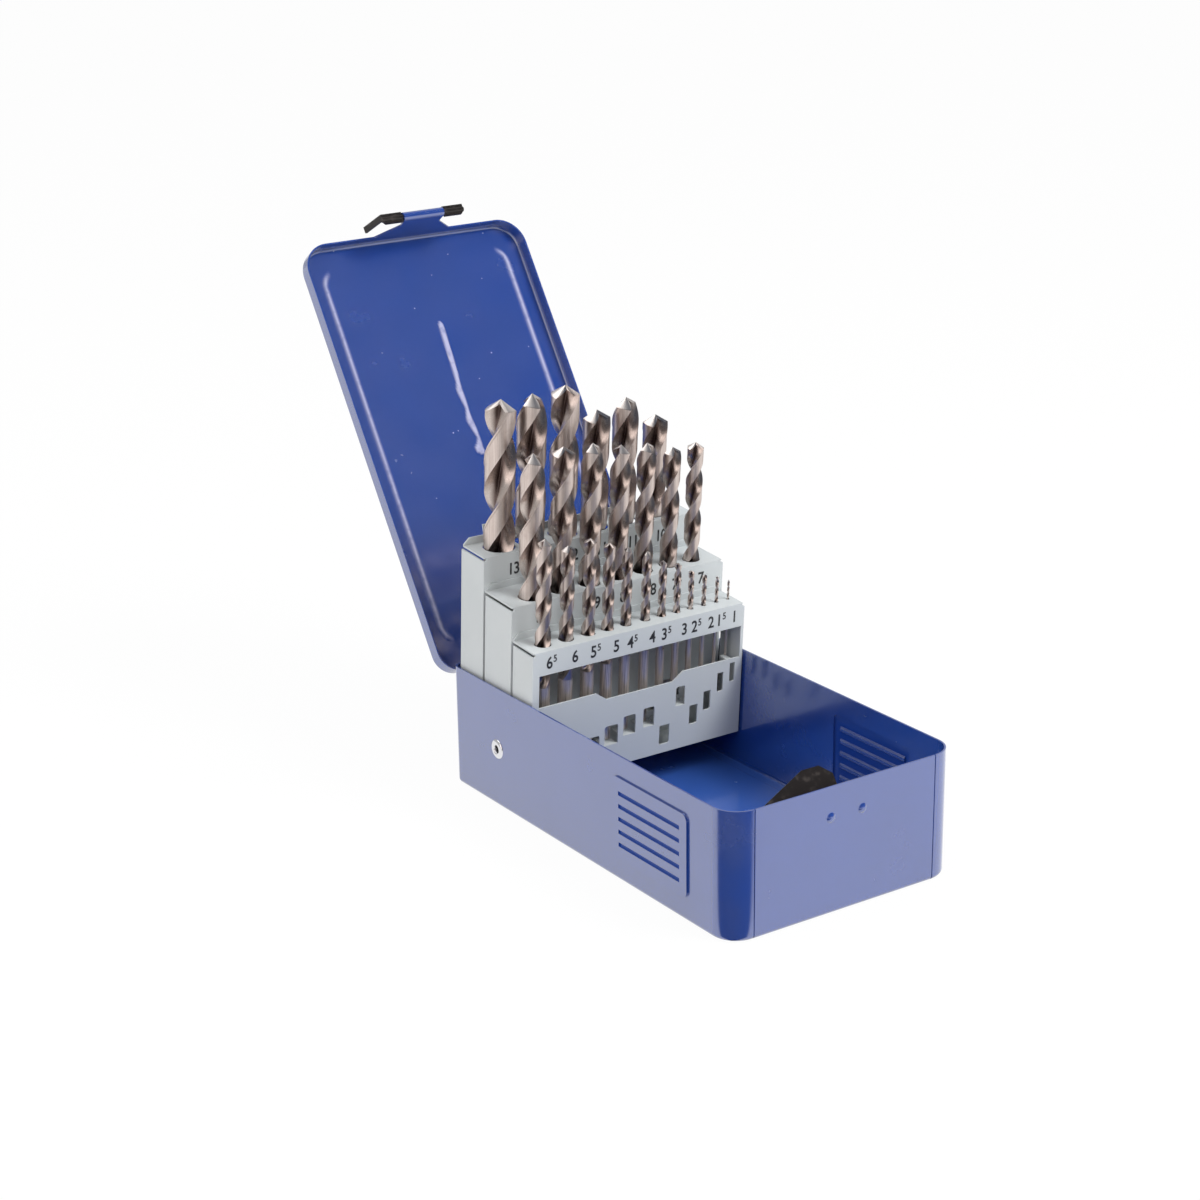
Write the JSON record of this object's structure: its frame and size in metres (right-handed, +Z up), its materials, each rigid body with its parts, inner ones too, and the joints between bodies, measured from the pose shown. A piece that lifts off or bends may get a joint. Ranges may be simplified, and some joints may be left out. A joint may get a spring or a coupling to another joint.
{
  "type": "drill bit case",
  "caption": "Folding sheet-metal drill bit case whose lid raises stepped racks of graduated twist drill bits out of its tray.",
  "frame": {"origin": "middle of the tray's flat underside", "axes": "+Z up; -Y towards the latch end, +Y towards the lid hinge; +X across the tray, with the largest bits at -X"},
  "size_m": [0.1104, 0.31, 0.2197],
  "materials": {
    "blue_paint": "glossy blue stove enamel on sheet steel",
    "grey_paint": "satin light grey enamel on sheet steel",
    "black_steel": "black satin spring steel",
    "plated_steel": "bright nickel plate",
    "tool_steel": "ground high-speed steel"
  },
  "bodies": {
    "tray": {"tray_floor": "blue_paint", "tray_side_left": "blue_paint", "tray_side_right": "blue_paint", "tray_rear_wall": "blue_paint", "tray_knuckles": "blue_paint", "hinge_pin": "plated_steel", "pivot_eyelet_left": "plated_steel", "pivot_eyelet_right": "plated_steel", "lid_spring": "black_steel"},
    "racks": {"rack_front": "grey_paint", "rack_middle": "grey_paint", "rack_rear": "grey_paint"},
    "lid": {"lid_shell": "blue_paint", "lid_knuckles": "blue_paint", "latch_tab": "blue_paint"},
    "latch": {"latch_lever": "black_steel"},
    "bit_13_0_body": {"bit_13_0": "tool_steel"},
    "bit_12_5_body": {"bit_12_5": "tool_steel"},
    "bit_12_0_body": {"bit_12_0": "tool_steel"},
    "bit_11_5_body": {"bit_11_5": "tool_steel"},
    "bit_11_0_body": {"bit_11_0": "tool_steel"},
    "bit_10_5_body": {"bit_10_5": "tool_steel"},
    "bit_10_0_body": {"bit_10_0": "tool_steel"},
    "bit_9_5_body": {"bit_9_5": "tool_steel"},
    "bit_9_0_body": {"bit_9_0": "tool_steel"},
    "bit_8_5_body": {"bit_8_5": "tool_steel"},
    "bit_8_0_body": {"bit_8_0": "tool_steel"},
    "bit_7_5_body": {"bit_7_5": "tool_steel"},
    "bit_7_0_body": {"bit_7_0": "tool_steel"},
    "bit_6_5_body": {"bit_6_5": "tool_steel"},
    "bit_6_0_body": {"bit_6_0": "tool_steel"},
    "bit_5_5_body": {"bit_5_5": "tool_steel"},
    "bit_5_0_body": {"bit_5_0": "tool_steel"},
    "bit_4_5_body": {"bit_4_5": "tool_steel"},
    "bit_4_0_body": {"bit_4_0": "tool_steel"},
    "bit_3_5_body": {"bit_3_5": "tool_steel"},
    "bit_3_0_body": {"bit_3_0": "tool_steel"},
    "bit_2_5_body": {"bit_2_5": "tool_steel"},
    "bit_2_0_body": {"bit_2_0": "tool_steel"},
    "bit_1_5_body": {"bit_1_5": "tool_steel"},
    "bit_1_0_body": {"bit_1_0": "tool_steel"}
  },
  "joints": [
    {"name": "rack_pivot", "type": "hinge", "parent": "tray", "child": "racks", "pos_m": [0, 0.0615, 0.0255], "axis": [-1, 0, 0], "range_deg": [-86, 0]},
    {"name": "lid_hinge", "type": "hinge", "parent": "tray", "child": "lid", "pos_m": [0, 0.0982, 0.0487], "axis": [-1, 0, 0], "range_deg": [-124, 0]},
    {"name": "latch_hinge", "type": "hinge", "parent": "lid", "child": "latch", "pos_m": [0, 0.19902, 0.21748], "axis": [1, 0, 0], "range_deg": [0, 75]},
    {"name": "bit_13_0_slide", "type": "slide", "parent": "racks", "child": "bit_13_0_body", "axis": [0, -0.0698, 0.9976], "range_m": [0, 0.0883]},
    {"name": "bit_12_5_slide", "type": "slide", "parent": "racks", "child": "bit_12_5_body", "axis": [0, -0.0698, 0.9976], "range_m": [0, 0.0883]},
    {"name": "bit_12_0_slide", "type": "slide", "parent": "racks", "child": "bit_12_0_body", "axis": [0, -0.0698, 0.9976], "range_m": [0, 0.0883]},
    {"name": "bit_11_5_slide", "type": "slide", "parent": "racks", "child": "bit_11_5_body", "axis": [0, -0.0698, 0.9976], "range_m": [0, 0.0883]},
    {"name": "bit_11_0_slide", "type": "slide", "parent": "racks", "child": "bit_11_0_body", "axis": [0, -0.0698, 0.9976], "range_m": [0, 0.0883]},
    {"name": "bit_10_5_slide", "type": "slide", "parent": "racks", "child": "bit_10_5_body", "axis": [0, -0.0698, 0.9976], "range_m": [0, 0.0883]},
    {"name": "bit_10_0_slide", "type": "slide", "parent": "racks", "child": "bit_10_0_body", "axis": [0, -0.0698, 0.9976], "range_m": [0, 0.0743]},
    {"name": "bit_9_5_slide", "type": "slide", "parent": "racks", "child": "bit_9_5_body", "axis": [0, -0.0698, 0.9976], "range_m": [0, 0.066]},
    {"name": "bit_9_0_slide", "type": "slide", "parent": "racks", "child": "bit_9_0_body", "axis": [0, -0.0698, 0.9976], "range_m": [0, 0.067]},
    {"name": "bit_8_5_slide", "type": "slide", "parent": "racks", "child": "bit_8_5_body", "axis": [0, -0.0698, 0.9976], "range_m": [0, 0.062]},
    {"name": "bit_8_0_slide", "type": "slide", "parent": "racks", "child": "bit_8_0_body", "axis": [0, -0.0698, 0.9976], "range_m": [0, 0.0635]},
    {"name": "bit_7_5_slide", "type": "slide", "parent": "racks", "child": "bit_7_5_body", "axis": [0, -0.0698, 0.9976], "range_m": [0, 0.0595]},
    {"name": "bit_7_0_slide", "type": "slide", "parent": "racks", "child": "bit_7_0_body", "axis": [0, -0.0698, 0.9976], "range_m": [0, 0.0595]},
    {"name": "bit_6_5_slide", "type": "slide", "parent": "racks", "child": "bit_6_5_body", "axis": [0, -0.0698, 0.9976], "range_m": [0, 0.058]},
    {"name": "bit_6_0_slide", "type": "slide", "parent": "racks", "child": "bit_6_0_body", "axis": [0, -0.0698, 0.9976], "range_m": [0, 0.055]},
    {"name": "bit_5_5_slide", "type": "slide", "parent": "racks", "child": "bit_5_5_body", "axis": [0, -0.0698, 0.9976], "range_m": [0, 0.054]},
    {"name": "bit_5_0_slide", "type": "slide", "parent": "racks", "child": "bit_5_0_body", "axis": [0, -0.0698, 0.9976], "range_m": [0, 0.0508]},
    {"name": "bit_4_5_slide", "type": "slide", "parent": "racks", "child": "bit_4_5_body", "axis": [0, -0.0698, 0.9976], "range_m": [0, 0.0484]},
    {"name": "bit_4_0_slide", "type": "slide", "parent": "racks", "child": "bit_4_0_body", "axis": [0, -0.0698, 0.9976], "range_m": [0, 0.0472]},
    {"name": "bit_3_5_slide", "type": "slide", "parent": "racks", "child": "bit_3_5_body", "axis": [0, -0.0698, 0.9976], "range_m": [0, 0.0478]},
    {"name": "bit_3_0_slide", "type": "slide", "parent": "racks", "child": "bit_3_0_body", "axis": [0, -0.0698, 0.9976], "range_m": [0, 0.0414]},
    {"name": "bit_2_5_slide", "type": "slide", "parent": "racks", "child": "bit_2_5_body", "axis": [0, -0.0698, 0.9976], "range_m": [0, 0.0422]},
    {"name": "bit_2_0_slide", "type": "slide", "parent": "racks", "child": "bit_2_0_body", "axis": [0, -0.0698, 0.9976], "range_m": [0, 0.0374]},
    {"name": "bit_1_5_slide", "type": "slide", "parent": "racks", "child": "bit_1_5_body", "axis": [0, -0.0698, 0.9976], "range_m": [0, 0.0306]},
    {"name": "bit_1_0_slide", "type": "slide", "parent": "racks", "child": "bit_1_0_body", "axis": [0, -0.0698, 0.9976], "range_m": [0, 0.0274]}
  ],
  "couplings": [
    {"joint": "lid_hinge", "follows": "rack_pivot", "ratio": 1.4419}
  ]
}
